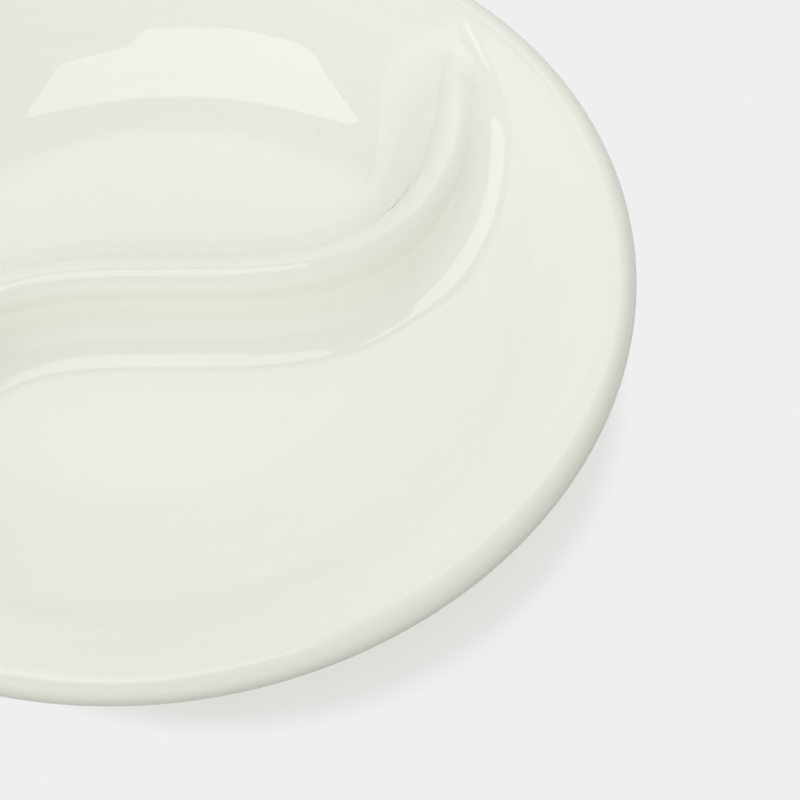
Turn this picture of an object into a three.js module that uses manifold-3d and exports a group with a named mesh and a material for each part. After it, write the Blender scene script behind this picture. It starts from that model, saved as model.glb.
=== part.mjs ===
// Round divided plate in glazed ceramic, with an S-shaped wall between its two compartments.
// Millimetres, +Z up. The origin is on the table, under the middle of the plate.

import * as THREE from "three";
import { ParametricGeometry } from "three/addons/geometries/ParametricGeometry.js";
import { mergeVertices } from "three/addons/utils/BufferGeometryUtils.js";
import Module from "manifold-3d";

const wasm = await Module();
wasm.setup();

// Driving dimensions of the dish, over the glaze
const RIM_RADIUS = 110;
const RIM_HEIGHT = 31;
const LIP_REACH = 4.4;
const LIP_THICKNESS = 7.4;
const LIP_BEND = 2;
const LIP_TURN = THREE.MathUtils.degToRad(150);
const BRIM_WIDTH = 8.8;
const SIDE_WIDTH = 9.3;
const HEEL_WIDTH = 23.5;
const FLOOR_EASE = 17;
const FLOOR_HEIGHT = 7.4;
const FLOOR_THICKNESS = 5;
const SIDE_THICKNESS = 5.5;

// The slopes of the dish as shares of its side's slope
const FLOOR_SLOPE = 0.01;
const HEEL_SLOPE = 0.32;
const BRIM_SLOPE = 0.99;

// Driving dimensions of the foot ring
const FOOT_RADIUS = 59;
const FOOT_WIDTH = 6;
const FOOT_EDGE = 1;

// Driving dimensions of the divider, over the glaze
const CREST_HEIGHT = 22.8;
const CREST_RISE = 9;
const CREST_RADIUS = 6.1;
const CREST_GROWTH = 5.6;
const CREST_FADE = 10;
const FLANK_ANGLE = THREE.MathUtils.degToRad(62);
const FILLET_RADIUS = 12.9;
const FILLET_GROWTH = 23.4;
const GROWTH_START = 60;
const CURVE_MIDDLE_X = 4.9;
const CURVE_MIDDLE_Y = 1.7;
const CURVE_HEADING = THREE.MathUtils.degToRad(0.3);
const CURVE_STRAIGHT = 4.3;
const CURVE_EASE = 38.6;
const CURVE_RADIUS = 40.7;
const CURVE_TURN = THREE.MathUtils.degToRad(85.6);

// Glaze and seams
const GLAZE = 0.5;
const SEAM = 0.3;
const LEDGE = 0.4;

// Facets
const TURN_STEPS = 60;
const BEND_STEPS = 2;
const LIP_STEPS = 5;
const FLANK_STEPS = 12;
const SWEEP_STEPS = 48;
const WALK_STEP = 0.5;

// The dish's slope changes evenly from each of these radii to the next, so that its profile has no corner.
const LIP_RADIUS = RIM_RADIUS - LIP_REACH;
const BRIM_END = LIP_RADIUS - LIP_BEND;
const BRIM_RADIUS = BRIM_END - BRIM_WIDTH;
const SIDE_RADIUS = BRIM_RADIUS - SIDE_WIDTH;
const HEEL_RADIUS = SIDE_RADIUS - HEEL_WIDTH;
const FLOOR_RADIUS = HEEL_RADIUS - FLOOR_EASE;
const BENDS = [
  { from: 0, to: FLOOR_RADIUS, slope: 0, endSlope: FLOOR_SLOPE },
  { from: FLOOR_RADIUS, to: HEEL_RADIUS, slope: FLOOR_SLOPE, endSlope: HEEL_SLOPE },
  { from: HEEL_RADIUS, to: SIDE_RADIUS, slope: HEEL_SLOPE, endSlope: 1 },
  { from: SIDE_RADIUS, to: BRIM_RADIUS, slope: 1, endSlope: 1 },
  { from: BRIM_RADIUS, to: BRIM_END, slope: 1, endSlope: BRIM_SLOPE },
  { from: BRIM_END, to: LIP_RADIUS, slope: BRIM_SLOPE, endSlope: 0 },
];

// How far a radius lies along a bend, from 0 at its start to 1 at its end.
function along(bend, radius) {
  return THREE.MathUtils.clamp((radius - bend.from) / (bend.to - bend.from), 0, 1);
}

function total(values) {
  return values.reduce((sum, value) => sum + value, 0);
}

// What a dish whose side has a slope of 1 would rise from its middle to a radius.
function riseTo(radius) {
  return total(BENDS.map((bend) => {
    const share = along(bend, radius);
    const meanSlope = bend.slope + ((bend.endSlope - bend.slope) * share) / 2;
    return share * (bend.to - bend.from) * meanSlope;
  }));
}

const SIDE_SLOPE = (RIM_HEIGHT - FLOOR_HEIGHT) / riseTo(LIP_RADIUS);

function dishHeight(radius) {
  return FLOOR_HEIGHT + SIDE_SLOPE * riseTo(radius);
}

function dishSlope(radius) {
  return SIDE_SLOPE * total(BENDS.map((bend) => (bend.endSlope - bend.slope) * along(bend, radius)));
}

// A point of a profile, moved into the material by an inset along its inward normal.
function inset(radius, height, normalRadius, normalHeight, depth) {
  const size = Math.hypot(normalRadius, normalHeight);
  return new THREE.Vector2(
    radius - (depth * normalRadius) / size,
    height - (depth * normalHeight) / size,
  );
}

function stepsBetween(from, to, steps) {
  return Array.from({ length: steps + 1 }, (_, i) => from + ((to - from) * i) / steps);
}

// The radii of a profile's points along some of the bends, from the middle outwards.
function ringRadii(bends) {
  return bends.flatMap((bend) => stepsBetween(bend.from, bend.to, BEND_STEPS).slice(1));
}

// A point of the food side, moved into the material by a depth.
function foodPoint(radius, depth) {
  return inset(radius, dishHeight(radius), -dishSlope(radius), 1, depth);
}

// The food side, from the middle of the floor to the top of the lip.
function foodSide(depth) {
  return [0, ...ringRadii(BENDS)].map((radius) => foodPoint(radius, depth));
}

// The outside, from the lip's outer round down to the middle of the underside.
function outside(depth) {
  const half = LIP_THICKNESS / 2;
  const lip = stepsBetween(0, LIP_TURN, LIP_STEPS).slice(1).map((angle) => {
    const radius = LIP_RADIUS + LIP_REACH * Math.sin(angle);
    const height = RIM_HEIGHT - half + half * Math.cos(angle);
    return inset(radius, height, half * Math.sin(angle), LIP_REACH * Math.cos(angle), depth);
  });
  const under = BENDS.filter((bend) => bend.to <= BRIM_RADIUS);
  const side = [0, ...ringRadii(under)].reverse().map((radius) => {
    const thickness = THREE.MathUtils.lerp(FLOOR_THICKNESS, SIDE_THICKNESS, radius / BRIM_RADIUS);
    return foodPoint(radius, thickness - depth);
  });
  return [...lip, ...side];
}

// The underside between two radii, from the outer one inwards.
function underside(depth, outer, inner) {
  const line = outside(depth).slice(LIP_STEPS);
  const heightAt = (radius) => {
    const i = line.findIndex((point) => point.x <= radius);
    const share = (radius - line[i].x) / (line[i - 1].x - line[i].x);
    return new THREE.Vector2(radius, line[i].y + share * (line[i - 1].y - line[i].y));
  };
  const between = line.filter((point) => point.x < outer && point.x > inner);
  return [heightAt(outer), ...between, heightAt(inner)];
}

// A solid turned about the upright axis. The profile ends on the axis or closes on itself.
function turned(profile) {
  return new THREE.LatheGeometry(profile, TURN_STEPS).rotateX(Math.PI / 2);
}

// The height of the food side at a radius, without the divider, a depth below the glaze's surface.
function foodHeight(radius, depth) {
  return dishHeight(radius) - depth * Math.hypot(1, dishSlope(radius));
}

// How high the divider stands above the dish at a distance across its line: a round crest, a straight flank
// and a hollow fillet that meets the dish without a corner. A low crest leaves only its two rounds.
// Towards the rim the crest climbs with the dish, both rounds grow and the crest fades out on the brim.
function standing(across, radius, depth) {
  const growth = THREE.MathUtils.clamp((radius - GROWTH_START) / (LIP_RADIUS - GROWTH_START), 0, 1);
  const fade = THREE.MathUtils.clamp((BRIM_END - radius) / CREST_FADE, 0, 1);
  const food = dishHeight(radius);
  const glazed = fade * (CREST_HEIGHT + CREST_RISE * growth ** 2 - food);
  const crest = glazed + food - depth - foodHeight(radius, depth);
  if (crest <= 0) return 0;
  const round = CREST_RADIUS + CREST_GROWTH * growth ** 2 - depth;
  const fillet = FILLET_RADIUS + FILLET_GROWTH * growth + depth;
  const cosine = Math.max(Math.cos(FLANK_ANGLE), 1 - crest / (round + fillet));
  const sine = Math.sqrt(1 - cosine ** 2);
  const straight = Math.max(crest - (round + fillet) * (1 - cosine), 0) * (cosine / sine);
  const offset = Math.abs(across);
  const toe = (round + fillet) * sine + straight - offset;
  if (toe <= 0) return 0;
  if (toe < fillet * sine) return fillet - Math.sqrt(fillet ** 2 - toe ** 2);
  if (offset < round * sine) return crest - round + Math.sqrt(round ** 2 - offset ** 2);
  return fillet * (1 - cosine) + (toe - fillet * sine) * (sine / cosine);
}

// How sharply the divider's line bends at a distance from its middle: an eased arc between two straights.
function curvature(distance) {
  const arcEnd = CURVE_STRAIGHT + CURVE_TURN * CURVE_RADIUS;
  const easeIn = THREE.MathUtils.clamp((distance - CURVE_STRAIGHT) / CURVE_EASE, 0, 1);
  const easeOut = THREE.MathUtils.clamp((distance - arcEnd) / CURVE_EASE, 0, 1);
  return (easeIn - easeOut) / CURVE_RADIUS;
}

// Places along the divider's line from its middle until the lip, each with a unit vector across the line.
// The other half is the same turned half round, so side is 1 or -1.
function walkLine(side) {
  const places = [];
  const spot = new THREE.Vector2(CURVE_MIDDLE_X, CURVE_MIDDLE_Y);
  let heading = CURVE_HEADING;
  for (let distance = 0; spot.length() < LIP_RADIUS; distance += WALK_STEP) {
    const across = new THREE.Vector2(-Math.sin(heading), Math.cos(heading));
    places.push({ spot: spot.clone(), across });
    heading += WALK_STEP * curvature(distance + WALK_STEP / 2);
    spot.x += side * WALK_STEP * Math.cos(heading);
    spot.y += side * WALK_STEP * Math.sin(heading);
  }
  return places;
}

// The divider as a closed wall along its line, down to the table, as far out as it stands a ledge above the
// dish. It ends where the dish buries the crest.
function sweptDivider(depth, ledge) {
  const radiusAt = (place, across) => place.spot.clone().addScaledVector(place.across, across).length();
  const bare = (place, across) => standing(across, radiusAt(place, across), depth) - ledge;
  const reach = (place, side) => {
    let across = 0;
    while (bare(place, side * (across + WALK_STEP)) > 0) across += WALK_STEP;
    const inside = bare(place, side * across);
    const beyond = bare(place, side * (across + WALK_STEP));
    return inside > 0 ? side * (across + (WALK_STEP * inside) / (inside - beyond)) : 0;
  };
  const top = (place, across) => {
    const radius = radiusAt(place, across);
    return foodHeight(radius, depth) + standing(across, radius, depth);
  };
  const bared = (side) => {
    const places = walkLine(side);
    const end = places.findIndex((place) => standing(0, place.spot.length(), 0) <= ledge);
    return end < 0 ? places : places.slice(0, end + 1);
  };
  const line = [...bared(-1).slice(1).reverse(), ...bared(1)];
  const slices = 2 * FLANK_STEPS + 3;
  return new ParametricGeometry((u, v, target) => {
    const place = line[Math.round(v * (line.length - 1))];
    const i = Math.round(u * slices) % slices;
    const step = i <= 2 * FLANK_STEPS ? i : (slices - 1 - i) * 2 * FLANK_STEPS;
    const side = step < FLANK_STEPS ? 1 : -1;
    const closed = v === 0 || v === 1;
    const share = Math.abs(step / FLANK_STEPS - 1);
    const across = closed ? 0 : share * reach(place, side);
    const spot = place.spot.clone().addScaledVector(place.across, across);
    target.set(spot.x, spot.y, i <= 2 * FLANK_STEPS ? top(place, across) : 0);
  }, slices, SWEEP_STEPS);
}

// The room above the food side, which starts at a depth below its surface.
function roomAbove(depth) {
  const ceiling = Math.max(RIM_HEIGHT, CREST_HEIGHT + CREST_RISE) + CREST_RADIUS;
  return turned([
    ...foodSide(depth),
    new THREE.Vector2(LIP_RADIUS, ceiling),
    new THREE.Vector2(0, ceiling),
  ]);
}

// Solids for joining and cutting

function toSolid(geometry) {
  const bare = geometry.clone();
  bare.deleteAttribute("normal");
  bare.deleteAttribute("uv");
  const merged = mergeVertices(bare);
  const index = merged.index.array;
  const faces = [];
  let volume = 0;
  const corner = [0, 1, 2].map(() => new THREE.Vector3());
  for (let i = 0; i < index.length; i += 3) {
    const [a, b, c] = index.slice(i, i + 3);
    if (a === b || b === c || c === a) continue;
    faces.push(a, b, c);
    corner.forEach((point, k) => point.fromBufferAttribute(merged.attributes.position, index[i + k]));
    volume += corner[0].dot(corner[1].cross(corner[2]));
  }
  if (volume < 0) faces.reverse();
  return new wasm.Manifold(new wasm.Mesh({
    numProp: 3,
    vertProperties: merged.attributes.position.array,
    triVerts: new Uint32Array(faces),
  }));
}

function toGeometry(solid) {
  const mesh = solid.getMesh();
  const geometry = new THREE.BufferGeometry();
  geometry.setAttribute("position", new THREE.BufferAttribute(mesh.vertProperties, 3));
  geometry.setIndex(new THREE.BufferAttribute(mesh.triVerts, 1));
  geometry.computeVertexNormals();
  return geometry;
}

// The five pieces

const BODY_DEPTH = GLAZE + SEAM;
const ROOT_DEPTH = FLOOR_THICKNESS / 2;
const FOOT_INNER = FOOT_RADIUS - FOOT_WIDTH / 2;
const FOOT_OUTER = FOOT_RADIUS + FOOT_WIDTH / 2;

function dish(depth) {
  return turned([...foodSide(depth), ...outside(depth)].reverse());
}

function dividerWall() {
  const wall = toSolid(sweptDivider(BODY_DEPTH, SEAM + LEDGE));
  return toGeometry(wall.intersect(toSolid(roomAbove(GLAZE))));
}

function footRing() {
  return turned([
    new THREE.Vector2(FOOT_INNER + FOOT_EDGE, 0),
    new THREE.Vector2(FOOT_OUTER - FOOT_EDGE, 0),
    new THREE.Vector2(FOOT_OUTER, FOOT_EDGE),
    ...underside(GLAZE, FOOT_OUTER, FOOT_INNER),
    new THREE.Vector2(FOOT_INNER, FOOT_EDGE),
    new THREE.Vector2(FOOT_INNER + FOOT_EDGE, 0),
  ]);
}

function glazeCoat() {
  const root = toSolid(roomAbove(ROOT_DEPTH));
  const coated = (depth) => {
    const wall = toSolid(sweptDivider(depth, LEDGE)).intersect(root);
    return toSolid(dish(depth)).add(wall);
  };
  const bare = toSolid(turned([
    new THREE.Vector2(0, 0),
    new THREE.Vector2(FOOT_OUTER + SEAM, 0),
    ...underside(ROOT_DEPTH, FOOT_OUTER + SEAM, 0),
  ]));
  return toGeometry(coated(0).subtract(coated(GLAZE)).subtract(bare));
}

function footWellGlaze() {
  const edge = FOOT_INNER - SEAM;
  return turned([...underside(0, edge, 0).reverse(), ...underside(GLAZE, edge, 0)]);
}

const CLAY = { color: 0xe6dcc9, roughness: 0.9, metalness: 0 };
const GLASS = { color: 0xe9ece1, roughness: 0.1, metalness: 0 };

const plate = new THREE.Group();
const pieces = [
  ["dish_body", dish(BODY_DEPTH), CLAY],
  ["divider_wall", dividerWall(), CLAY],
  ["foot_ring", footRing(), CLAY],
  ["glaze_coat", glazeCoat(), GLASS],
  ["foot_well_glaze", footWellGlaze(), GLASS],
];
for (const [name, geometry, look] of pieces) {
  const piece = new THREE.Mesh(geometry, new THREE.MeshStandardMaterial(look));
  piece.name = name;
  plate.add(piece);
}

export default plate;
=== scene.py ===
# %% [markdown]
# # A divided plate in ivory glaze
# The plate is one fired piece: a shallow dish with a rounded lip, an S-shaped wall across it, a bare
# ring of clay under it to stand on, and glaze over all the rest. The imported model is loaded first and
# stays where it is. Each finer piece below is made in the same place, in millimetres, and scaled to
# metres as it becomes a mesh.

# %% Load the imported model
import math

import bmesh
import bpy
import numpy as np
from mathutils import Matrix, Vector


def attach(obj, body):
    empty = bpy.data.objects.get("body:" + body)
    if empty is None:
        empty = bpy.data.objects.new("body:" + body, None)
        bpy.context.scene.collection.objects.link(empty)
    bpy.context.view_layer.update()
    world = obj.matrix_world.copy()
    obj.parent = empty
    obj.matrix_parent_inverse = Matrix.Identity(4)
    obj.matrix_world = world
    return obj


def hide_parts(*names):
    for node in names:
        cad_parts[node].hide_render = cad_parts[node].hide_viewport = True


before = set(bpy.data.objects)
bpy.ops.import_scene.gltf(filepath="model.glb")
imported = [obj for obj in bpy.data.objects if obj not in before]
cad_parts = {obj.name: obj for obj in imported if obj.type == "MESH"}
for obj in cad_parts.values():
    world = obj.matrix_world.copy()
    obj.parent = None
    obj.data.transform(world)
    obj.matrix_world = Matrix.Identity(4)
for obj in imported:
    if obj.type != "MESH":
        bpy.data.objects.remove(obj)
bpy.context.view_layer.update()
MM = 0.001
print("packed nodes:", sorted(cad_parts))

# %% [markdown]
# ## The camera
# The photograph is a close view down into the plate, 56 degrees above the table, with the plate's left
# edge and far edge outside the picture. A 90 mm lens was found by fitting the rim's outline together
# with the crest and the foot of the divider. A Track To constraint could aim the camera, but its three
# axes are known, so they go straight into its matrix.

# %% Camera
PHOTO_PIXELS = 800
LENS_MM = 90.0
SENSOR_MM = 36.0
FOCAL_PIXELS = LENS_MM / SENSOR_MM * PHOTO_PIXELS
CAMERA_TILT = math.radians(56.079)
CAMERA_DISTANCE = 448.25 * MM
NEAREST_SEEN = 10 * MM
PLATE_PIXEL = (146.5, 248.9)
RIM_HEIGHT = 31.0

forward = Vector((0, math.cos(CAMERA_TILT), -math.sin(CAMERA_TILT)))
right = Vector((1, 0, 0))
up = right.cross(forward)
aside = (PLATE_PIXEL[0] - PHOTO_PIXELS / 2) / FOCAL_PIXELS * CAMERA_DISTANCE
above = (PHOTO_PIXELS / 2 - PLATE_PIXEL[1]) / FOCAL_PIXELS * CAMERA_DISTANCE
eye = Vector((0, 0, RIM_HEIGHT * MM)) - aside * right - above * up - CAMERA_DISTANCE * forward
camera = bpy.data.objects.new("camera", bpy.data.cameras.new("camera"))
camera.data.lens = LENS_MM
camera.data.sensor_width = SENSOR_MM
camera.data.clip_start = NEAREST_SEEN
axes = Matrix((right, up, -forward)).transposed().to_4x4()
camera.matrix_world = Matrix.Translation(eye) @ axes
bpy.context.scene.collection.objects.link(camera)
bpy.context.scene.camera = camera
print("camera at", [round(c, 3) for c in eye])

# %% [markdown]
# ## The dish's profile
# A plate is turned or pressed, so half a section describes it. Its food side is easiest to give by its
# slope: nearly level on the floor, rising through the heel, straight and steep on the side and the
# brim, and level on top of the lip. A curve with handles could draw it, but its heights would have to
# be measured again. So the slope is drawn between these radii, softened a little because a pressed
# plate has no sudden change of bend, and added up into heights. The sizes are those of the packed
# solids.

# %% Profile of the food side
RIM_RADIUS = 110.0
LIP_REACH = 4.4
LIP_EASE = 2.0
BRIM_WIDTH = 8.8
SIDE_WIDTH = 9.3
HEEL_WIDTH = 23.5
FLOOR_EASE = 17.0
LIP_RADIUS = RIM_RADIUS - LIP_REACH
BRIM_END = LIP_RADIUS - LIP_EASE
BRIM_RADIUS = BRIM_END - BRIM_WIDTH
SIDE_RADIUS = BRIM_RADIUS - SIDE_WIDTH
HEEL_RADIUS = SIDE_RADIUS - HEEL_WIDTH
FLOOR_RADIUS = HEEL_RADIUS - FLOOR_EASE
FLOOR_HEIGHT = 7.4
SLOPE_SHARES = (0, 0.01, 0.32, 1, 1, 0.99, 0)
SOFTENING = 2.0
FINE = 0.1

fine_radii = np.arange(0, LIP_RADIUS + FINE / 2, FINE)
bends = (0, FLOOR_RADIUS, HEEL_RADIUS, SIDE_RADIUS, BRIM_RADIUS, BRIM_END, LIP_RADIUS)
sharp_slope = np.interp(fine_radii, bends, SLOPE_SHARES)
span = int(SOFTENING / FINE)
beyond = np.full(span, sharp_slope[-1])
padded = np.concatenate([-sharp_slope[span:0:-1], sharp_slope, beyond])
soft_slope = np.convolve(padded, np.hanning(2 * span + 1) / span, "valid")
near_lip = np.clip((fine_radii - BRIM_END + 2 * SOFTENING) / SOFTENING, 0, 1)
slope = soft_slope * (1 - near_lip) + sharp_slope * near_lip
rise = np.concatenate([[0], np.cumsum((slope[1:] + slope[:-1]) / 2 * FINE)])
steepest = (RIM_HEIGHT - FLOOR_HEIGHT) / rise[-1]


def dish_height(radius):
    return np.interp(radius, fine_radii, FLOOR_HEIGHT + steepest * rise)


def dish_slope(radius):
    return np.interp(radius, fine_radii, steepest * slope)


print("steepest slope", round(math.degrees(math.atan(steepest)), 1), "degrees")

# %% [markdown]
# ## The divider's line
# The wall's crest follows an S: a short straight in the middle that eases into an arc on each side. It
# could be a Bezier curve, but walking along it in small steps and turning a little at each one gives
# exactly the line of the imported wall, and points close enough together to measure from.

# %% Line of the divider
CURVE_MIDDLE = np.array([4.9, 1.7])
CURVE_HEADING = math.radians(0.3)
CURVE_STRAIGHT = 4.3
CURVE_EASE = 38.6
CURVE_RADIUS = 40.7
CURVE_TURN = math.radians(85.6)
WALK_STEP = 0.25


def bend(distance):
    arc_end = CURVE_STRAIGHT + CURVE_TURN * CURVE_RADIUS
    ease_in = min(max((distance - CURVE_STRAIGHT) / CURVE_EASE, 0), 1)
    ease_out = min(max((distance - arc_end) / CURVE_EASE, 0), 1)
    return (ease_in - ease_out) / CURVE_RADIUS


def walk(side):
    spot, heading, distance, places = CURVE_MIDDLE.copy(), CURVE_HEADING, 0.0, []
    while np.hypot(*spot) < RIM_RADIUS:
        places.append(spot.copy())
        heading += WALK_STEP * bend(distance + WALK_STEP / 2)
        spot += side * WALK_STEP * np.array([math.cos(heading), math.sin(heading)])
        distance += WALK_STEP
    return places


divider_line = np.array(walk(-1)[:0:-1] + walk(1))
line_length = round(len(divider_line) * WALK_STEP)
print("divider line:", len(divider_line), "places,", line_length, "mm long")

# %% [markdown]
# The height of the wall at a point of the plate depends on how far the point is from that line. Each
# point first finds the nearest of a few places on the line, and then measures to the short pieces
# around that place. A k-d tree would do the same, but this needs only array arithmetic.

# %% Distance from the divider's line
COARSE = 12
BATCH = 4000
line_start, line_run = divider_line[:-1], np.diff(divider_line, axis=0)


def across_line(x, y):
    points = np.stack([x.ravel(), y.ravel()], 1)
    markers = divider_line[::COARSE]
    nearest = np.concatenate([
        ((part[:, None] - markers[None]) ** 2).sum(2).argmin(1)
        for part in np.array_split(points, len(points) // BATCH + 1)
    ])
    pieces = nearest[:, None] * COARSE + np.arange(-COARSE, COARSE + 1)[None]
    pieces = np.clip(pieces, 0, len(line_start) - 1)
    offset = points[:, None] - line_start[pieces]
    run = line_run[pieces]
    share = np.clip((offset * run).sum(2) / WALK_STEP ** 2, 0, 1)
    away = offset - share[..., None] * run
    return np.sqrt((away ** 2).sum(2).min(1)).reshape(x.shape)


middle_across = float(across_line(np.zeros(1), np.zeros(1))[0])
print("the plate's middle lies", round(middle_across, 2), "mm from the line")

# %% [markdown]
# ## The divider's section
# Across its line the wall has a round crest, a steep straight flank and a wide hollow fillet that meets
# the dish without a corner. Towards the rim the crest climbs with the dish and the fillet grows, and
# over the brim the crest fades out softly. A bevel on a curve could not blend into a dish like that, so
# the height is worked out directly.

# %% Height of the glazed surface
CREST_HEIGHT = 22.8
CREST_RISE = 9.0
CREST_RADIUS = 6.1
CREST_GROWTH = 5.6
FADE_START = 91.0
FADE_END = 106.0
FLANK_ANGLE = math.radians(62)
FILLET_RADIUS = 12.9
FILLET_GROWTH = 23.4
GROWTH_START = 60.0
TINY = 1e-12


def soft_step(value, low, high):
    share = np.clip((value - low) / (high - low), 0, 1)
    return share * share * (3 - 2 * share)


def divider_standing(across, radius):
    growth = np.clip((radius - GROWTH_START) / (LIP_RADIUS - GROWTH_START), 0, 1)
    climb = CREST_HEIGHT + CREST_RISE * growth ** 2 - dish_height(radius)
    crest = np.maximum(climb, 0) * soft_step(radius, FADE_END, FADE_START)
    crest_round = CREST_RADIUS + CREST_GROWTH * growth ** 2
    fillet = FILLET_RADIUS + FILLET_GROWTH * growth
    rounds = crest_round + fillet
    cosine = np.maximum(math.cos(FLANK_ANGLE), 1 - crest / rounds)
    sine = np.sqrt(np.maximum(1 - cosine ** 2, TINY))
    straight = np.maximum(crest - rounds * (1 - cosine), 0) * cosine / sine
    toe = np.maximum(rounds * sine + straight - across, 0)
    flank = fillet * (1 - cosine) + (toe - fillet * sine) * sine / cosine
    top = crest - crest_round + np.sqrt(np.maximum(crest_round ** 2 - across ** 2, 0))
    hollow = fillet - np.sqrt(np.maximum(fillet ** 2 - toe ** 2, 0))
    standing = np.where(across < crest_round * sine, top, flank)
    return np.where(toe < fillet * sine, hollow, standing)


def glazed_height(x, y):
    radius = np.hypot(x, y)
    return dish_height(radius) + divider_standing(across_line(x, y), radius)


middle_height = glazed_height(np.zeros(1), np.zeros(1))[0]
above_floor = round(float(middle_height - FLOOR_HEIGHT), 1)
print("the wall stands", above_floor, "mm above the floor at the plate's middle")

# %% [markdown]
# ## The glaze's outer skin
# The glaze is a thin coat of glass that follows the clay. A subdivision surface over the solid would
# round things that are already round, so the skin is a grid of rings and spokes laid on the measured
# heights. Its normals come from the same heights, so highlights run smoothly where the grid crosses the
# wall at an angle.

# %% Food side of the glaze
SPOKES = 440
DISH_RINGS = 106
LIP_RINGS = 12
LIP_RINGS_START = 100
SLIP = 0.05

turns = np.linspace(0, 2 * math.pi, SPOKES, endpoint=False)


def ring_radii(dish_rings, lip_rings):
    dish = np.linspace(0, LIP_RINGS_START, dish_rings + 1)[1:]
    lip = np.linspace(LIP_RINGS_START, LIP_RADIUS, lip_rings + 1)[1:]
    return np.concatenate([dish, lip])


def food_side(x, y):
    tilt_x = (glazed_height(x + SLIP, y) - glazed_height(x - SLIP, y)) / (2 * SLIP)
    tilt_y = (glazed_height(x, y + SLIP) - glazed_height(x, y - SLIP)) / (2 * SLIP)
    normals = np.stack([-tilt_x, -tilt_y, np.ones_like(x)], -1)
    places = np.stack([x, y, glazed_height(x, y)], -1)
    return places, normals / np.linalg.norm(normals, axis=-1, keepdims=True)


def food_rings(radii, spokes):
    x, y = radii[:, None] * np.cos(spokes)[None], radii[:, None] * np.sin(spokes)[None]
    places, normals = food_side(x, y)
    normals[radii >= LIP_RADIUS] = (0, 0, 1)
    return places, normals


food_points, food_normals = food_rings(ring_radii(DISH_RINGS, LIP_RINGS), turns)
print("food side:", food_points.shape[0], "rings of", SPOKES, "points")

# %% [markdown]
# Beyond the top of the lip the glaze goes round the rim and down the outside to just short of the foot
# ring, where it was wiped off before firing. That part is a plain turned shape. A Screw modifier could
# turn it, but its rings have to join those of the food side, so one profile is swung round by the same
# spokes.

# %% Outside of the glaze
LIP_THICKNESS = 7.4
LIP_TURN = math.radians(150)
FLOOR_THICKNESS = 5.0
SIDE_THICKNESS = 5.5
FOOT_OUTER = 62.0
SEAM = 0.3
GLAZE_EDGE = FOOT_OUTER + SEAM
ROLL_ROOM = 0.4
PAST_EDGE = 2
LIP_STEPS = 16
SIDE_STEPS = 12
MEASURES_PER_STEP = 4


def underside(radii, depth):
    added_thickness = (SIDE_THICKNESS - FLOOR_THICKNESS) * radii / BRIM_RADIUS
    thickness = FLOOR_THICKNESS + added_thickness - depth
    tilt = dish_slope(radii)
    size = np.hypot(1, tilt)
    return np.stack([radii + thickness * tilt / size, dish_height(radii) - thickness / size], 1)


def outside_profile(depth, lip_steps, side_steps):
    half = LIP_THICKNESS / 2
    angle = np.linspace(0, LIP_TURN, lip_steps + 1)
    push = np.stack([half * np.sin(angle), LIP_REACH * np.cos(angle)], 1)
    push *= depth / np.linalg.norm(push, axis=1, keepdims=True)
    lip_radii = LIP_RADIUS + LIP_REACH * np.sin(angle)
    lip = np.stack([lip_radii, RIM_HEIGHT - half + half * np.cos(angle)], 1) - push
    measures = MEASURES_PER_STEP * side_steps
    side = underside(np.linspace(BRIM_RADIUS, GLAZE_EDGE - PAST_EDGE, measures), depth)
    side = side[side[:, 0] > GLAZE_EDGE + ROLL_ROOM]
    run = np.concatenate([lip[-1:], side])
    lengths = np.linalg.norm(np.diff(run, axis=0), axis=1)
    distance = np.concatenate([[0], np.cumsum(lengths)])
    spread = np.linspace(0, distance[-1], side_steps + 1)[1:]
    even_side = np.stack([np.interp(spread, distance, run[:, k]) for k in (0, 1)], 1)
    return np.concatenate([lip, even_side])


def turned_rings(profile, spokes):
    step = np.gradient(profile, axis=0)
    push = np.stack([-step[:, 1], step[:, 0]], 1)
    push /= np.linalg.norm(push, axis=1, keepdims=True)
    spot = np.stack([np.cos(spokes), np.sin(spokes)], 1)

    def swing(pairs):
        heights = np.repeat(pairs[:, None, 1:], len(spokes), 1)
        return np.concatenate([pairs[:, None, :1] * spot[None], heights], 2)

    return swing(profile), swing(push)


outer_profile = outside_profile(0.0, LIP_STEPS, SIDE_STEPS)
print("outside ends at radius and height", outer_profile[-1].round(2))

# %% [markdown]
# ## The glaze as a closed coat
# Real glaze has a thickness, and it shows where the coat ends in a small rounded roll beside the foot
# ring. A Solidify modifier would thicken the skin with as many points again, so the hidden inner skin
# is laid here with half the spokes and fewer rings. The two skins meet in the roll and close the coat.

# %% Inner skin and roll of the glaze
GLAZE_DEPTH = 0.5
INNER_DISH_RINGS = 34
INNER_LIP_RINGS = 4
ROLL_ANGLES = np.radians([45, 90, 135])[:, None]


def rolled_edge(start, end):
    half = (start - end) / 2
    out = np.array([half[1], -half[0]])
    return (start + end) / 2 + np.cos(ROLL_ANGLES) * half + np.sin(ROLL_ANGLES) * out


half_turns = turns[::2]
inner_radii = ring_radii(INNER_DISH_RINGS, INNER_LIP_RINGS)
under_points, under_normals = food_rings(inner_radii, half_turns)
under_points = under_points - GLAZE_DEPTH * under_normals
inner_profile = outside_profile(GLAZE_DEPTH, LIP_STEPS // 2, SIDE_STEPS // 2)
outer_points, outer_normals = turned_rings(outer_profile, turns)
inner_points, inner_normals = turned_rings(inner_profile, half_turns)
roll_profile = rolled_edge(outer_profile[-1], inner_profile[-1])
roll_points, roll_normals = turned_rings(roll_profile, turns)
roll_gap = round(float(roll_profile[1, 0]) - FOOT_OUTER, 2)
print("glaze ends", roll_gap, "mm from the foot ring")

# %% [markdown]
# The rings are then joined into one closed mesh. Bridge Edge Loops could join each ring to the next, but
# the points are already in order, so counting along the rings gives the faces directly. Where a ring of
# half as many points follows, three triangles fill each gap.

# %% Coat of glaze as one mesh


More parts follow.
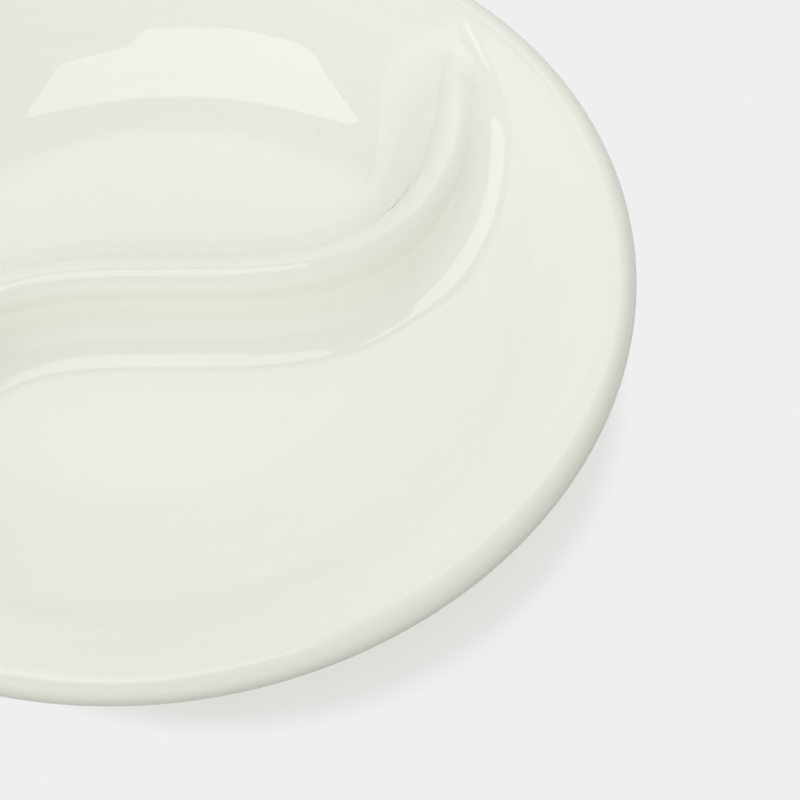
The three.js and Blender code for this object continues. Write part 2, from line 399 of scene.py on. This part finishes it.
def ring_faces(start, count, after, after_count):
    near, far = start + np.arange(count), after + np.arange(after_count)
    if count == after_count:
        return np.stack([near, far, np.roll(far, -1), np.roll(near, -1)], 1).tolist()
    first, second, third = near[::2], near[1::2], np.roll(near[::2], -1)
    beside = np.roll(far, -1)
    corners = [(first, far, second), (far, beside, second), (second, beside, third)]
    return np.concatenate([np.stack(three, 1) for three in corners]).tolist()


def mesh_of_rings(name, rings, normals, top=None, bottom=None):
    starts = np.cumsum([0] + [len(ring) for ring in rings])
    points, facing, faces = np.concatenate(rings), np.concatenate(normals), []
    for i in range(len(rings) - 1):
        faces += ring_faces(starts[i], len(rings[i]), starts[i + 1], len(rings[i + 1]))
    if top is None and bottom is None:
        faces += ring_faces(starts[-2], len(rings[-1]), 0, len(rings[0]))
    for pole, ring, turn in ((top, 0, 1), (bottom, len(rings) - 1, -1)):
        if pole is not None:
            around = starts[ring] + np.arange(len(rings[ring]))
            pairs = zip(around, np.roll(around, -1))
            faces += [(len(points), int(a), int(b))[::turn] for a, b in pairs]
            points = np.concatenate([points, [pole]])
            facing = np.concatenate([facing, [(0, 0, turn)]])
    mesh = bpy.data.meshes.new(name)
    mesh.from_pydata((points * MM).tolist(), [], faces)
    mesh.polygons.foreach_set("use_smooth", np.ones(len(faces), bool))
    mesh.normals_split_custom_set_from_vertices(facing.tolist())
    piece = bpy.data.objects.new(name, mesh)
    bpy.context.scene.collection.objects.link(piece)
    return piece


outer_skin = [*food_points, *outer_points[1:], *roll_points]
outer_facing = [*food_normals, *outer_normals[1:], *roll_normals]
inner_skin = [*inner_points[:0:-1], *under_points[::-1]]
inner_facing = [*-inner_normals[:0:-1], *-under_normals[::-1]]
glaze_facing = outer_facing + inner_facing
glaze_coat = mesh_of_rings("ivory_glaze_coat", outer_skin + inner_skin, glaze_facing,
                           top=(0, 0, middle_height), bottom=(0, 0, middle_height - GLAZE_DEPTH))
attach(glaze_coat, "root")
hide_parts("glaze_coat")
print("glaze coat:", len(glaze_coat.data.polygons), "faces")

# %% [markdown]
# The crest's shoulders bend much faster than the dish, and where one of them hides the flank behind it,
# a coarse grid would show as a dashed edge. A Multires modifier would refine the whole coat, so only
# the edges along the shoulders are cut in half, and the new points are lifted onto the measured
# heights.

# %% Finer grid along the crest's shoulders
FINE_BAND = (3.4, 7.8)
LOWEST_WALL = 0.5

grid = bmesh.new()
grid.from_mesh(glaze_coat.data)
food_x, food_y = food_points[..., 0].ravel(), food_points[..., 1].ravel()
from_crest = across_line(food_x, food_y)
near_crest = (from_crest > FINE_BAND[0]) & (from_crest < FINE_BAND[1])
near_crest &= divider_standing(np.zeros(1), np.hypot(food_x, food_y)) > LOWEST_WALL
elsewhere = np.zeros(len(grid.verts) - len(near_crest), bool)
near_crest = np.concatenate([near_crest, elsewhere])
halved = [edge for edge in grid.edges if all(near_crest[vert.index] for vert in edge.verts)]
bmesh.ops.subdivide_edges(grid, edges=halved, cuts=1, use_grid_fill=True)
bmesh.ops.triangulate(grid, faces=[face for face in grid.faces if len(face.verts) > 4])
grid.to_mesh(glaze_coat.data)
grid.free()

coat_places = np.empty(3 * len(glaze_coat.data.vertices))
glaze_coat.data.vertices.foreach_get("co", coat_places)
coat_places = coat_places.reshape(-1, 3) / MM
added = coat_places[len(near_crest):]
added_points, added_normals = food_side(added[:, 0], added[:, 1])
coat_places[len(near_crest):] = added_points
glaze_coat.data.vertices.foreach_set("co", (coat_places * MM).ravel())
coat_facing = np.concatenate([*glaze_facing, [(0, 0, 1), (0, 0, -1)], added_normals])
glaze_coat.data.normals_split_custom_set_from_vertices(coat_facing.tolist())
triangles = sum(len(face.vertices) - 2 for face in glaze_coat.data.polygons)
print("glaze coat:", triangles, "triangles,", len(added), "points added")

# %% [markdown]
# ## The foot ring
# The ring that the plate stands on is left bare, because glaze would stick to the kiln's shelf. It is
# turned with the plate, so it is a ring of one profile. A torus or a bevelled cylinder would come close,
# but only a profile of its own follows the sloping underside at the right seam.

# %% Foot ring
FOOT_INNER = 56.0
FOOT_ROUND = 1.4
FOOT_CORNER_STEPS = 6
ROOT_STEPS = 8
ROOT_MEASURES = np.linspace(50, 66, 80)


def under_profile(radii, measures, depth):
    line = underside(measures, depth)
    return np.stack([radii, np.interp(radii, line[:, 0], line[:, 1])], 1)


def foot_corner(edge, inward):
    angle = np.linspace(0, math.pi / 2, FOOT_CORNER_STEPS)
    radii = edge + inward * FOOT_ROUND * (1 - np.sin(angle))
    return np.stack([radii, FOOT_ROUND * (1 - np.cos(angle))], 1)


root_radii = np.linspace(FOOT_OUTER, FOOT_INNER, ROOT_STEPS)
foot_root = under_profile(root_radii, ROOT_MEASURES, GLAZE_DEPTH)
inner_corner, outer_corner = foot_corner(FOOT_INNER, 1), foot_corner(FOOT_OUTER, -1)
foot_profile = np.concatenate([foot_root, inner_corner[::-1], outer_corner])[::-1]
foot_points, foot_normals = turned_rings(foot_profile, half_turns)
foot_ring = mesh_of_rings("bare_foot_ring", [*foot_points], [*foot_normals])
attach(foot_ring, "root")
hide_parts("foot_ring")
print("foot ring:", len(foot_ring.data.polygons), "faces")

# %% [markdown]
# Inside the ring the underside is glazed again, with the same small roll where the coat ends. It is a
# shallow lid of glass. A disc with a Solidify modifier would end in a sharp edge, so it is one profile
# from the middle out, round the roll and back.

# %% Glaze in the foot well
WELL_EDGE = FOOT_INNER - SEAM
WELL_ROLL_ROOM = 0.3
WELL_MIDDLE = 0.5
WELL_STEPS = 40
WELL_MEASURES = np.linspace(0, 60, 200)

well_radii = np.linspace(WELL_MIDDLE, WELL_EDGE - WELL_ROLL_ROOM, WELL_STEPS)
well_under = under_profile(well_radii, WELL_MEASURES, 0.0)[::-1]
well_above = under_profile(well_radii, WELL_MEASURES, GLAZE_DEPTH)
well_roll = rolled_edge(well_above[-1], well_under[0])
well_profile = np.concatenate([well_above, well_roll, well_under])
well_points, well_normals = turned_rings(well_profile, half_turns)
well_floor = FLOOR_HEIGHT - FLOOR_THICKNESS
well_glaze = mesh_of_rings("foot_well_glaze_coat", [*well_points], [*well_normals],
                           top=(0, 0, well_floor + GLAZE_DEPTH), bottom=(0, 0, well_floor))
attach(well_glaze, "root")
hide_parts("foot_well_glaze")
print("foot well glaze:", len(well_glaze.data.polygons), "faces")

# %% [markdown]
# ## How the glaze gathered, and painted shade on the crest and lip
# Molten glaze runs off sharp edges and gathers in hollows, so it is thicker and greener along the foot
# of the wall and thin on the crest. The crest's darker colour is partly that thin glaze and partly
# painted shade, and the darker colour over the whole lip is painted shade. Geometry's Pointiness shows
# this only in renders and
# depends on the grid, so the bend of the surface is measured here and kept on the mesh as a named
# attribute:
# -1 is thin glaze with painted shade, 1 is thick.

# %% Glaze thickness and painted shade as an attribute
BEND_SPAN = 1.5
SHARPEST_CREST = 0.16
DEEPEST_HOLLOW = 0.09
CREST_THINNESS_AND_SHADE = 0.55
PAINTED_LIP_SHADE_START = 101.0
THIN = -0.5


def glaze_pooling_and_crest_shade(x, y):
    ways = ((1, 0), (-1, 0), (0, 1), (0, -1))
    around = sum(glazed_height(x + BEND_SPAN * a, y + BEND_SPAN * b) for a, b in ways)
    hollow = (around - len(ways) * glazed_height(x, y)) / BEND_SPAN ** 2
    filled = np.where(hollow > 0, hollow / DEEPEST_HOLLOW, hollow / SHARPEST_CREST)
    return np.clip(filled, -1, 1)


coat_x, coat_y = coat_places[:, 0], coat_places[:, 1]
coat_radius = np.hypot(coat_x, coat_y)
pooling_and_painted_shade = glaze_pooling_and_crest_shade(coat_x, coat_y) * (coat_radius < BRIM_RADIUS)
# The crest's negative values darken its colour: partly thin glaze, partly painted shade.
pooling_and_painted_shade = np.where(pooling_and_painted_shade < 0, CREST_THINNESS_AND_SHADE * pooling_and_painted_shade, pooling_and_painted_shade)
# Painted shade: the whole lip, inside and out, is pushed to thin so that its colour renders darker.
pooling_and_painted_shade = pooling_and_painted_shade - soft_step(coat_radius, PAINTED_LIP_SHADE_START, RIM_RADIUS)
glaze_coat.data.attributes.new("pooling_and_painted_shade", "FLOAT", "POINT").data.foreach_set("value", pooling_and_painted_shade)
print("glaze is thin on", round(100 * float((pooling_and_painted_shade < THIN).mean())), "% of the points")

# %% [markdown]
# ## Small helpers for the finishes
# Glaze and clay look alive because many faint things overlap: clouds, specks, wisps. Each could be wired
# by hand in the Shader Editor or packed into a node group, but a short function for each kind of node
# reads like a recipe. All patterns are laid in the plate's own space, so that they have a real size in
# millimetres and need no unwrapping.

# %% Helpers for sums, blends and ramps
MIX_SHARE, MIX_FIRST, MIX_SECOND, MIX_COLOUR = 0, 6, 7, 2


def material(name):
    made = bpy.data.materials.new(name)
    made.use_nodes = True
    return made, made.node_tree, made.node_tree.nodes, made.node_tree.links


def feed(tree, value, socket):
    if isinstance(value, bpy.types.NodeSocket):
        tree.links.new(value, socket)
    else:
        socket.default_value = value


def reckon(tree, operation, first, second=0.0, third=0.0):
    node = tree.nodes.new("ShaderNodeMath")
    node.operation = operation
    for value, socket in zip((first, second, third), node.inputs):
        feed(tree, value, socket)
    return node.outputs[0]


def times(tree, first, second):
    return reckon(tree, "MULTIPLY", first, second)


def blend(tree, share, first, second):
    node = tree.nodes.new("ShaderNodeMix")
    node.data_type = "RGBA"
    feed(tree, share, node.inputs[MIX_SHARE])
    for colour, place in ((first, MIX_FIRST), (second, MIX_SECOND)):
        plain = not isinstance(colour, bpy.types.NodeSocket)
        feed(tree, (*colour, 1) if plain else colour, node.inputs[place])
    return node.outputs[MIX_COLOUR]


def ramp(tree, value, low, high, to_low=0.0, to_high=1.0):
    node = tree.nodes.new("ShaderNodeMapRange")
    node.interpolation_type = "SMOOTHSTEP"
    for number, socket in zip((value, low, high, to_low, to_high), node.inputs):
        feed(tree, number, socket)
    return node.outputs[0]


print("helpers for sums, blends and ramps ready")

# %% [markdown]
# Three helpers make what lies on the surface: cloudy noise, scattered specks, and a bump. A Voronoi
# texture gives one random colour to each cell, so one part of it picks the few cells that hold a speck
# and another part sets the speck's size. Particles could scatter specks too, but they would be extra
# pieces.

# %% Helpers for noise, specks and bump
SPECK_EDGE = (0.4, 1.0)


def noise(tree, where, size_mm, detail=2.0, stretch=(1, 1, 1), swirl=0.0):
    scale = tree.nodes.new("ShaderNodeVectorMath")
    scale.operation = "MULTIPLY"
    tree.links.new(where, scale.inputs[0])
    scale.inputs[1].default_value = [s / (size_mm * MM) for s in stretch]
    node = tree.nodes.new("ShaderNodeTexNoise")
    tree.links.new(scale.outputs[0], node.inputs["Vector"])
    node.inputs["Scale"].default_value = 1.0
    node.inputs["Detail"].default_value = detail
    node.inputs["Distortion"].default_value = swirl
    return node.outputs["Fac"]


def specks(tree, where, spacing_mm, size_mm, kept):
    cells = tree.nodes.new("ShaderNodeTexVoronoi")
    tree.links.new(where, cells.inputs["Vector"])
    cells.inputs["Scale"].default_value = 1 / (spacing_mm * MM)
    pick = tree.nodes.new("ShaderNodeSeparateColor")
    tree.links.new(cells.outputs["Color"], pick.inputs[0])
    chosen = reckon(tree, "LESS_THAN", pick.outputs[0], kept)
    size = times(tree, pick.outputs[1], size_mm / spacing_mm)
    outward = reckon(tree, "DIVIDE", cells.outputs["Distance"], size)
    spot = reckon(tree, "SUBTRACT", 1.0, ramp(tree, outward, *SPECK_EDGE))
    return times(tree, chosen, spot)


def raise_surface(tree, height_mm, shader):
    bump = tree.nodes.new("ShaderNodeBump")
    bump.inputs["Strength"].default_value = 1.0
    bump.inputs["Distance"].default_value = MM
    tree.links.new(height_mm, bump.inputs["Height"])
    tree.links.new(bump.outputs[0], shader.inputs["Normal"])


print("helpers for noise, specks and bump ready")

# %% [markdown]
# ## Ivory glaze
# The glaze is a glossy, slightly green ivory. A plain colour with gloss would look like plastic, so the
# nodes add what the wheel and the kiln leave: milky wisps, faint rings on the slope, a few specks and
# pinholes. The rings' darker colour is painted shade where the slope bends. Rings and wisps follow the
# turning, so the rings are noise over the radius alone, and the wisps are noise over the radius and the
# direction. A Wave texture would be too regular for either.

# %% Ivory glaze: marks of wheel and kiln
RING_WIDTH = 2.4
RINGS_BEGIN, RINGS_END = (74, 80), (87, 92)
NOISE_MIDDLE = 0.5
BROWN_SPECKS = (9.0, 0.55, 0.10)
PINHOLES = (5.0, 0.42, 0.09)
WISP_WIDTH = 6.0
WISP_STRETCH = (2.2, 2.2, 1)
WISP_SWIRL = 0.5
WISP_EDGE = (0.5, 0.68)
WISPS_BEGIN = (40, 70)
NO_SCALE = 1 / MM

ivory, tree, nodes, links = material("ivory_glaze")
shader = nodes["Principled BSDF"]
where = nodes.new("ShaderNodeTexCoord").outputs["Object"]
flat = nodes.new("ShaderNodeSeparateXYZ")
links.new(where, flat.inputs[0])
squares = [times(tree, flat.outputs[k], flat.outputs[k]) for k in (0, 1)]
radius = reckon(tree, "SQRT", reckon(tree, "ADD", *squares))


def over_radius(start_mm, end_mm, to_start=0.0, to_end=1.0):
    return ramp(tree, radius, start_mm * MM, end_mm * MM, to_start, to_end)


turning = nodes.new("ShaderNodeTexNoise")
turning.noise_dimensions = "1D"
links.new(times(tree, radius, 1 / (RING_WIDTH * MM)), turning.inputs["W"])
turning.inputs["Scale"].default_value = 1.0
turning.inputs["Detail"].default_value = 1.0
on_slope = times(tree, over_radius(*RINGS_BEGIN), over_radius(*RINGS_END, 1.0, 0.0))
rings = times(tree, reckon(tree, "SUBTRACT", turning.outputs["Fac"], NOISE_MIDDLE), on_slope)
brown_specks = specks(tree, where, *BROWN_SPECKS)
pinholes = specks(tree, where, *PINHOLES)

swept = nodes.new("ShaderNodeCombineXYZ")
for k in (0, 1):
    links.new(reckon(tree, "DIVIDE", flat.outputs[k], radius), swept.inputs[k])
links.new(times(tree, radius, 1 / (WISP_WIDTH * MM)), swept.inputs[2])
milk = noise(tree, swept.outputs[0], NO_SCALE, detail=3.0, stretch=WISP_STRETCH, swirl=WISP_SWIRL)
wisps = times(tree, ramp(tree, milk, *WISP_EDGE), over_radius(*WISPS_BEGIN))
print("marks of wheel and kiln:", len(nodes), "nodes")

# %% [markdown]
# The colour wanders by a percent or so. Thick glaze is a little greener. On the crest the darker tint is
# partly thin glaze letting the darker clay show through and partly painted shade; on the lip and in the
# faint rings on the slope it is painted shade. Each of these could be a shader layer of its own, but
# glaze is one glass, so the tints are blended one after another into one colour.

# %% Ivory glaze: colour
IVORY = (0.828, 0.844, 0.759)
IVORY_DEEP = (0.818, 0.841, 0.750)
POOLED_TINT = (0.818, 0.843, 0.750)
# Darker tint for thin glaze on the crest and for painted shade on the crest, the lip and the slope's
# rings.
THIN_GLAZE_AND_SHADE_TINT = (0.748, 0.761, 0.672)
MILKY_TINT, MILKY_SHARE = (0.848, 0.862, 0.782), 0.5
PINHOLE_TINT, PINHOLE_SHARE = (0.66, 0.66, 0.57), 0.3
SPECK_TINT, SPECK_SHARE = (0.47, 0.40, 0.30), 0.22
# Painted shade: how far the rings on the slope darken the colour.
RING_SHADE_EDGE, RING_SHADE_SHARE = (0.0, 0.35), 0.12
CLOUD_SIZE, CLOUD_EDGE = 28.0, (0.35, 0.65)

pooling_and_shade_reader = nodes.new("ShaderNodeAttribute")
pooling_and_shade_reader.attribute_name = "pooling_and_painted_shade"
thickness = pooling_and_shade_reader.outputs["Fac"]
pooled = reckon(tree, "MAXIMUM", thickness, 0.0)
# Darkening of the crest (partly thin glaze, partly painted shade) and of the lip (painted shade).
thin_glaze_and_painted_shade = reckon(tree, "MAXIMUM", times(tree, thickness, -1.0), 0.0)
clouds = ramp(tree, noise(tree, where, CLOUD_SIZE, detail=3.0), *CLOUD_EDGE)
colour = blend(tree, clouds, IVORY, IVORY_DEEP)
for share, tint in (
    (times(tree, wisps, MILKY_SHARE), MILKY_TINT),
    (pooled, POOLED_TINT),
    (thin_glaze_and_painted_shade, THIN_GLAZE_AND_SHADE_TINT),
    # Painted shade: faint darker rings on the slope.
    (times(tree, ramp(tree, rings, *RING_SHADE_EDGE), RING_SHADE_SHARE), THIN_GLAZE_AND_SHADE_TINT),
    (times(tree, pinholes, PINHOLE_SHARE), PINHOLE_TINT),
    (times(tree, brown_specks, SPECK_SHARE), SPECK_TINT),
):
    colour = blend(tree, share, colour, tint)
links.new(colour, shader.inputs["Base Color"])
print("ivory glaze: colour from", len(nodes), "nodes")

# %% [markdown]
# Glaze is glass, so its gloss is sharp, a little duller where it was handled. It set from a melt, so its
# surface ripples by a few thousandths of a millimetre, and a pinhole is a small pit. Displacement could
# move the mesh by that much, but bump does it without a finer mesh.

# %% Ivory glaze: gloss and ripple
GLASS_IOR = 1.5
SMEAR_SIZE, SMEAR_STRETCH, SMEAR_EDGE = 14.0, (1, 0.35, 1), (0.4, 0.75)
GLOSS = (0.012, 0.03)
SWELL_SIZE, SWELL_HEIGHT = 9.0, 0.004
PEEL_SIZE, PEEL_HEIGHT = 1.1, 0.0006
RING_HEIGHT = 0.003
PINHOLE_HEIGHT = -0.03

smears = noise(tree, where, SMEAR_SIZE, stretch=SMEAR_STRETCH)
links.new(ramp(tree, smears, *SMEAR_EDGE, *GLOSS), shader.inputs["Roughness"])
shader.inputs["IOR"].default_value = GLASS_IOR
ripple = times(tree, pinholes, PINHOLE_HEIGHT)
for form, form_height in (
    (rings, RING_HEIGHT),
    (noise(tree, where, PEEL_SIZE, detail=1.0), PEEL_HEIGHT),
    (noise(tree, where, SWELL_SIZE, detail=1.0), SWELL_HEIGHT),
):
    ripple = reckon(tree, "MULTIPLY_ADD", form, form_height, ripple)
raise_surface(tree, ripple, shader)
for piece in (glaze_coat, well_glaze):
    piece.data.materials.append(ivory)
print("ivory glaze:", len(nodes), "nodes")

# %% [markdown]
# ## Bare clay
# Where no glaze lies, the fired clay is matt and buff, with fine grain and darker grog in it. A picture
# of clay could be laid on as a texture, but noise at two sizes and a dense scatter of specks give the
# same at any size. The same clay is in the dish and the wall under the glaze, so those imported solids
# take it too, although they only show if the glaze is taken off.

# %% Bare clay
BUFF = (0.70, 0.62, 0.49)
BUFF_PALE = (0.78, 0.71, 0.59)
GROG_TINT = (0.42, 0.33, 0.23)
GRAIN_SIZE, GRAIN_EDGE = 0.7, (0.3, 0.7)
PATCH_SIZE, PATCH_EDGE = 12.0, (0.35, 0.65)
GROG = (1.6, 0.5, 0.25)
GRAIN_SHARE, GROG_SHARE = 0.35, 0.6
GRAIN_HEIGHT, GROG_HEIGHT = 0.12, -0.05
MATT = (0.82, 0.95)

clay, tree, nodes, links = material("bare_clay")
shader = nodes["Principled BSDF"]
where = nodes.new("ShaderNodeTexCoord").outputs["Object"]
grain = noise(tree, where, GRAIN_SIZE, detail=4.0)
patches = ramp(tree, noise(tree, where, PATCH_SIZE, detail=3.0), *PATCH_EDGE)
grog = specks(tree, where, *GROG)
colour = blend(tree, patches, BUFF, BUFF_PALE)
colour = blend(tree, times(tree, ramp(tree, grain, *GRAIN_EDGE), GRAIN_SHARE), colour, BUFF)
colour = blend(tree, times(tree, grog, GROG_SHARE), colour, GROG_TINT)
links.new(colour, shader.inputs["Base Color"])
links.new(ramp(tree, grain, *GRAIN_EDGE, *MATT), shader.inputs["Roughness"])
pits = times(tree, grog, GROG_HEIGHT)
raise_surface(tree, reckon(tree, "MULTIPLY_ADD", grain, GRAIN_HEIGHT, pits), shader)
foot_ring.data.materials.append(clay)
for name in ("dish_body", "divider_wall"):
    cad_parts[name].data.materials.clear()
    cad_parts[name].data.materials.append(clay)
print("bare clay:", len(nodes), "nodes")

# %% [markdown]
# ## The table
# The plate stands on plain pale paper that photographs nearly white. White from lamps alone would need
# more light than the plate does, so the paper glows by itself to the camera and in reflections, and only
# its part near the plate also takes light, which leaves the soft warm shadow under the rim. A shadow
# catcher could do that too, but it would need compositing.

# %% Table: paper that takes the shadow
TABLE_REACH = 3
TABLE_GAP = 0.02 * MM
TABLE_LEVEL = 0.863
TABLE_LIGHT = 0.985
SHADOW_DEPTH = (0.265, 0.28, 0.335)
SHADOW_ROUNDS = (((19.7, -13.8), 92.0), ((-8.0, 10.0), 98.0))
SHADOW_EDGE = 8.0

table_mesh = bpy.data.meshes.new("table_top")
table_corners = [(x * TABLE_REACH, y * TABLE_REACH, -TABLE_GAP)
                 for x, y in ((-1, -1), (1, -1), (1, 1), (-1, 1))]
table_mesh.from_pydata(table_corners, [], [(0, 1, 2, 3)])
table_top = bpy.data.objects.new("table_top", table_mesh)
bpy.context.scene.collection.objects.link(table_top)
paper, tree, nodes, links = material("table_paper")
nodes.remove(nodes["Principled BSDF"])
where = nodes.new("ShaderNodeTexCoord").outputs["Object"]
shaded = 0.0
for (middle_x, middle_y), reach_mm in SHADOW_ROUNDS:
    away = nodes.new("ShaderNodeVectorMath")
    away.operation = "DISTANCE"
    links.new(where, away.inputs[0])
    away.inputs[1].default_value = (middle_x * MM, middle_y * MM, 0)
    limits = ((reach_mm - SHADOW_EDGE) * MM, reach_mm * MM)
    inside = ramp(tree, away.outputs["Value"], *limits, 1.0, 0.0)
    shaded = reckon(tree, "MAXIMUM", inside, shaded)
left_glow = [TABLE_LEVEL * (1 - d) for d in SHADOW_DEPTH]
taken_light = [TABLE_LEVEL * d / TABLE_LIGHT for d in SHADOW_DEPTH]
glow = nodes.new("ShaderNodeEmission")
links.new(blend(tree, shaded, [TABLE_LEVEL] * 3, left_glow), glow.inputs["Color"])
lit = nodes.new("ShaderNodeBsdfDiffuse")
links.new(blend(tree, shaded, (0, 0, 0), taken_light), lit.inputs["Color"])
both = nodes.new("ShaderNodeAddShader")
links.new(glow.outputs[0], both.inputs[0])
links.new(lit.outputs[0], both.inputs[1])
print("table: paper at level", TABLE_LEVEL)

# %% [markdown]
# To all other light the paper is a plain grey bounce, so that its glow does not light the plate. From
# below the paper can be seen through, so that the underside of the plate can be looked at. Two tables
# with different visibility could do this, but Light Path and Backfacing tell the cases apart inside one
# material.

# %% Table: what each ray meets
TABLE_BOUNCE = 0.16

bounce = nodes.new("ShaderNodeBsdfDiffuse")
bounce.inputs["Color"].default_value = (TABLE_BOUNCE, TABLE_BOUNCE, TABLE_BOUNCE, 1)
path = nodes.new("ShaderNodeLightPath").outputs
mirrored = reckon(tree, "MAXIMUM", path["Is Glossy Ray"], path["Is Transmission Ray"])
seen = reckon(tree, "MAXIMUM", path["Is Camera Ray"], mirrored)
choose = nodes.new("ShaderNodeMixShader")
for output, place in ((seen, 0), (bounce.outputs[0], 1), (both.outputs[0], 2)):
    links.new(output, choose.inputs[place])
below = nodes.new("ShaderNodeNewGeometry").outputs["Backfacing"]
clear = nodes.new("ShaderNodeBsdfTransparent").outputs[0]
open_below = nodes.new("ShaderNodeMixShader")
for output, place in ((below, 0), (choose.outputs[0], 1), (clear, 2)):
    links.new(output, open_below.inputs[place])
links.new(open_below.outputs[0], nodes["Material Output"].inputs["Surface"])
table_mesh.materials.append(paper)
print("table paper:", len(nodes), "nodes")

# %% [markdown]
# ## The room's light
# Gloss shows the room, so the light is built as the room that the plate reflects: a ceiling above and
# walls whose brightness differs by side. A panorama picture is the usual way, but a few levels by
# direction are enough for a plain studio. Broad, even levels light the plate, and its gloss mirrors a
# room with a darker ceiling that glows only at the back, which keeps the panel's reflection clear.

# %% Room: levels of the walls
WALLS = {"left": 0.43, "right": 0.08, "front": 1.40, "back": 1.10}
MIRRORED_WALLS = {"left": 0.98, "right": 0.05, "front": 0.95, "back": 1.05}
LEFT_FADE = (0.0, 0.72)
OVER_ONE = 1.0001

world = bpy.data.worlds.new("studio")
bpy.context.scene.world = world
world.use_nodes = True
tree = world.node_tree
nodes, links = tree.nodes, tree.links
direction = nodes.new("ShaderNodeSeparateXYZ")
links.new(nodes.new("ShaderNodeTexCoord").outputs["Generated"], direction.inputs[0])
side_x, side_y, height = direction.outputs
sides = {
    "left": (side_x, -1.0), "right": (side_x, 1.0),
    "front": (side_y, -1.0), "back": (side_y, 1.0),
}
lying = reckon(tree, "SUBTRACT", OVER_ONE, times(tree, height, height))
left_fade = ramp(tree, height, *LEFT_FADE)
lit_walls, seen_walls = 0.0, 0.0
for name, (way, sign) in sides.items():
    share = reckon(tree, "MAXIMUM", times(tree, way, sign), 0.0)
    lit_walls = reckon(tree, "MULTIPLY_ADD", share, WALLS[name], lit_walls)
    even = reckon(tree, "DIVIDE", times(tree, share, share), lying)
    if name == "left":
        even = times(tree, even, left_fade)
    seen_walls = reckon(tree, "MULTIPLY_ADD", even, MIRRORED_WALLS[name], seen_walls)
print("room: walls", WALLS)

# %% [markdown]
# The ceiling takes over from the walls above a set height. What a ray finds then depends on what sent
# it: the camera sees the plain backdrop, a mirrored ray sees the mirrored room, and all other light
# comes from the even one. Lamps could be hidden from reflections one by one, but levels that change with
# height and side are simpler in the world.

# %% Room: ceiling and what each ray sees
CEILING = 1.19
CEILING_EDGE = (0.735, 0.785)
DARK_CEILING = 0.15
BACK_LEVEL = 1.40
BACK_GLOW = (0.40, 0.50)

overhead = ramp(tree, height, *CEILING_EDGE)


def room(walls, ceiling):
    low_part = times(tree, walls, reckon(tree, "SUBTRACT", 1.0, overhead))
    return reckon(tree, "MULTIPLY_ADD", overhead, ceiling, low_part)


path = nodes.new("ShaderNodeLightPath").outputs
lit_level = room(lit_walls, CEILING)
seen_level = room(seen_walls, ramp(tree, side_y, *BACK_GLOW, DARK_CEILING, BACK_LEVEL))
change = reckon(tree, "SUBTRACT", seen_level, lit_level)
level = reckon(tree, "MULTIPLY_ADD", path["Is Glossy Ray"], change, lit_level)
to_backdrop = reckon(tree, "SUBTRACT", TABLE_LEVEL, level)
backdrop = times(tree, path["Is Camera Ray"], to_backdrop)
links.new(reckon(tree, "ADD", level, backdrop), nodes["Background"].inputs["Strength"])
nodes["Background"].inputs["Color"].default_value = (1, 1, 1, 1)
print("room: ceiling", CEILING, "and", len(nodes), "nodes")

# %% [markdown]
# ## The soft panel
# One large soft panel hangs over the plate, a bit to the left. Its outline, with one stepped corner, is
# what shows in the far compartment and along the foot of the wall. Area lamps only come as rectangles
# and discs, so the panel is a sheet that glows, slightly brighter on its left part. Its corners are
# given for a height of one metre and scaled to the height it hangs at.

# %% Soft panel
PANEL_HEIGHT = 1.2
PANEL_LEVEL = (2.0, 1.92)
PANEL_TINT = (0.985, 0.965, 1.08)
PANEL_STEP = (-0.19, -0.15)
PANEL_SHIFT = 0.02
PANEL_OUTLINE = [
    (0.10, -0.02), (0.075, 0.20), (0.05, 0.27), (-0.05, 0.298), (-0.40, 0.292), (-0.455, 0.26),
    (-0.46, -0.07), (-0.43, -0.118), (-0.30, -0.175), (-0.25, -0.185), (-0.075, -0.19),
    (-0.058, -0.18), (-0.034, -0.095), (-0.032, -0.08),
]

panel_mesh = bpy.data.meshes.new("soft_panel")
panel_corners = [(PANEL_SHIFT + PANEL_HEIGHT * x, PANEL_HEIGHT * y, PANEL_HEIGHT)
                 for x, y in PANEL_OUTLINE]
panel_mesh.from_pydata(panel_corners, [], [tuple(range(len(panel_corners)))])
soft_panel = bpy.data.objects.new("soft_panel", panel_mesh)
bpy.context.scene.collection.objects.link(soft_panel)
soft_panel.visible_camera = False
silk, tree, nodes, links = material("panel_silk")
nodes.remove(nodes["Principled BSDF"])
glow = nodes.new("ShaderNodeEmission")
across_panel = nodes.new("ShaderNodeSeparateXYZ")
links.new(nodes.new("ShaderNodeTexCoord").outputs["Object"], across_panel.inputs[0])
panel_step = [PANEL_HEIGHT * x for x in PANEL_STEP]
brightness = ramp(tree, across_panel.outputs[0], *panel_step, *PANEL_LEVEL)
glow.inputs["Color"].default_value = (*PANEL_TINT, 1)
links.new(brightness, glow.inputs["Strength"])
links.new(glow.outputs[0], nodes["Material Output"].inputs["Surface"])
panel_mesh.materials.append(silk)
print("soft panel:", len(panel_corners), "corners")

# %% [markdown]
# ## Finish
# The Standard view transform shows colours as they are written, where Filmic or AgX would bend them. The
# finer pieces may not outgrow the imported ones.

# %% View
bpy.context.scene.view_settings.view_transform = "Standard"
